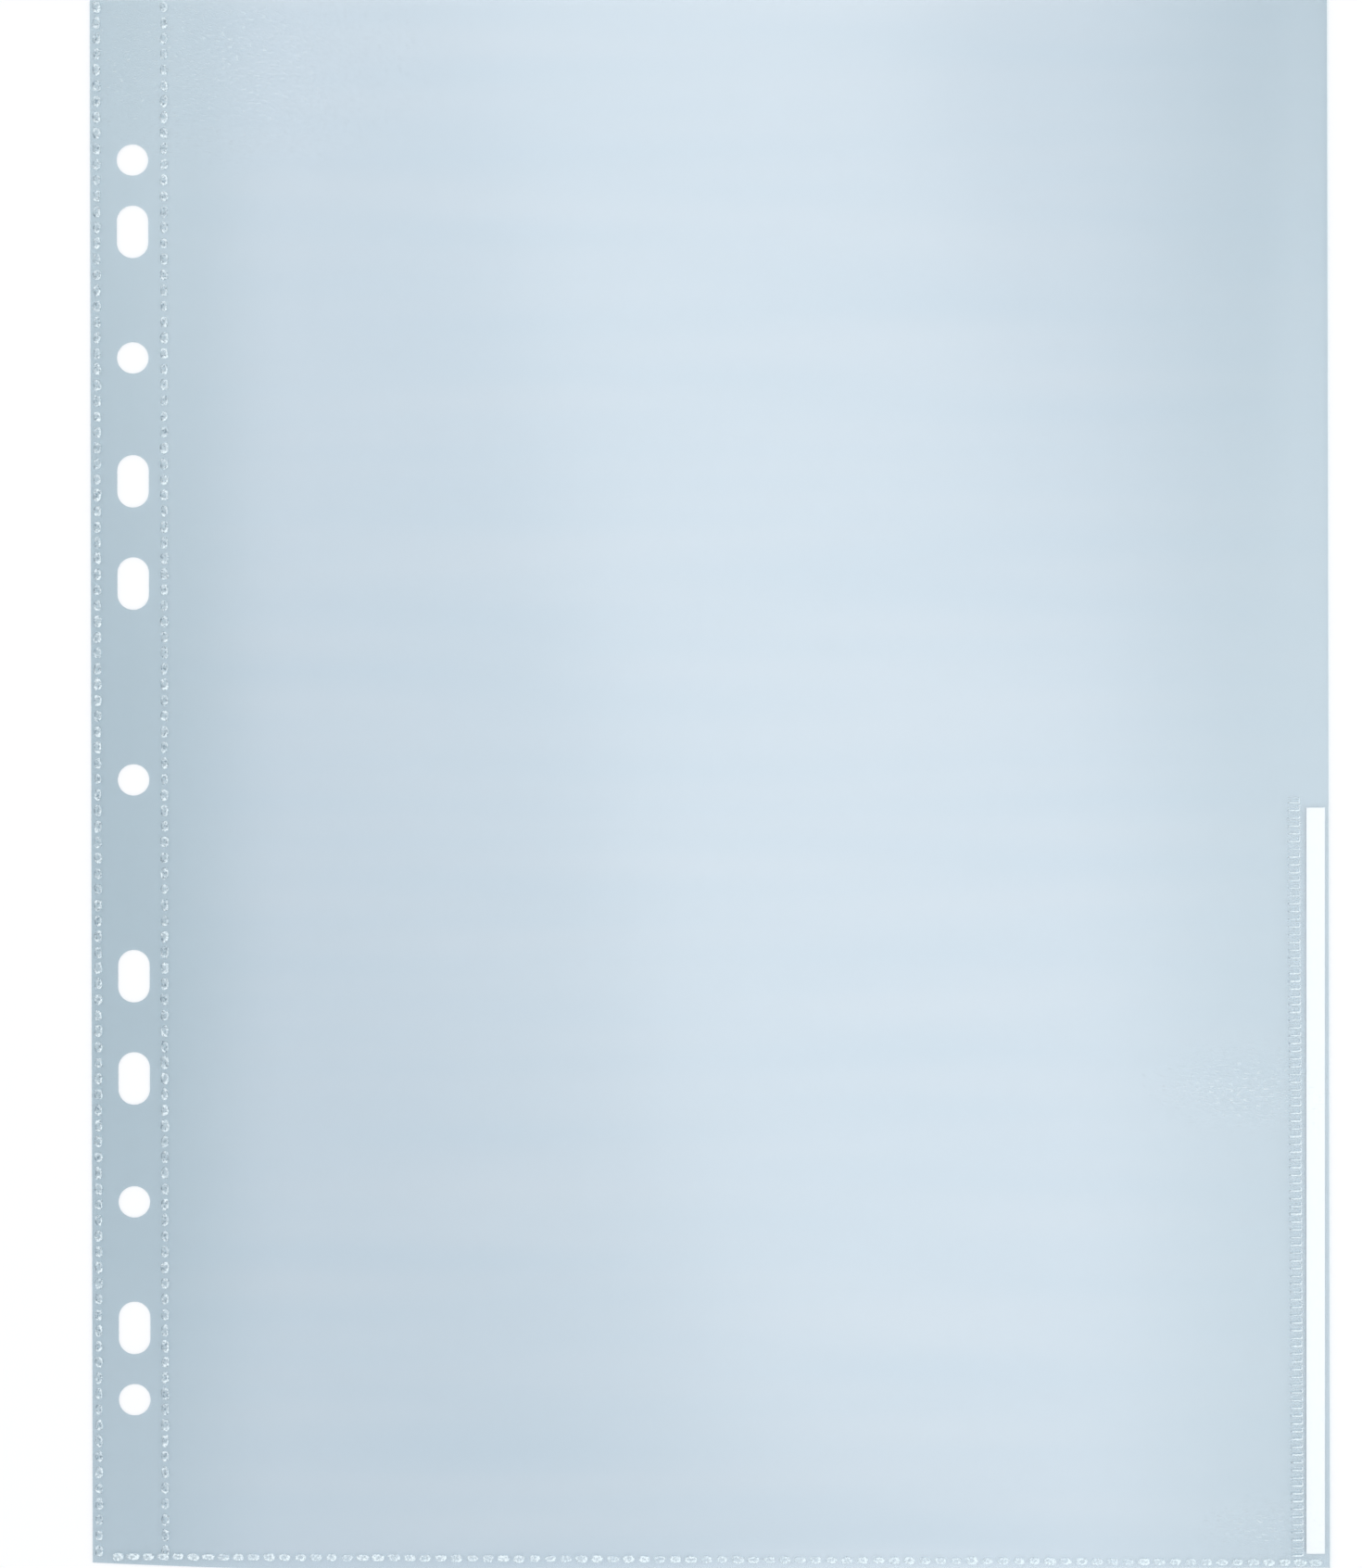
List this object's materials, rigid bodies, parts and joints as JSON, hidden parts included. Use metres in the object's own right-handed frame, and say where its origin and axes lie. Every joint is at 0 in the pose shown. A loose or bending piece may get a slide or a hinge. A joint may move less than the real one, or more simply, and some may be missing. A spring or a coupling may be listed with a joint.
{
  "type": "punched pocket",
  "caption": "Clear film pocket for a ring binder, with a punched binding margin, welded seams, an open top and a side channel that holds a sliding index label.",
  "frame": {"origin": "middle of the pocket's outline, on the underside of the back film", "axes": "+X from the binding margin to the folded edge, +Y towards the open mouth, +Z out of the front film"},
  "size_m": [0.24, 0.304, 0.0071],
  "materials": {
    "clear_film": "clear, glossy, faintly blue",
    "welded_film": "pressed, frosted by the weld",
    "label_card": "matt white card"
  },
  "bodies": {
    "binding_margin": {"margin_back_film": "clear_film", "margin_front_film": "clear_film", "outer_margin_weld": "welded_film", "inner_margin_weld": "welded_film", "margin_bottom_weld": "welded_film"},
    "pocket_page": {"back_film": "clear_film", "front_film": "clear_film", "edge_fold": "clear_film", "bottom_weld": "welded_film", "label_weld": "welded_film"},
    "label_strip": {"index_label": "label_card"}
  },
  "joints": [
    {"name": "page_turn", "type": "hinge", "parent": "binding_margin", "child": "pocket_page", "pos_m": [-0.10395, 0, 0.0002], "axis": [0, -1, 0], "range_deg": [0, 120]},
    {"name": "label_slide", "type": "slide", "parent": "pocket_page", "child": "label_strip", "axis": [0, 1, 0], "range_m": [0, 0.305]}
  ]
}
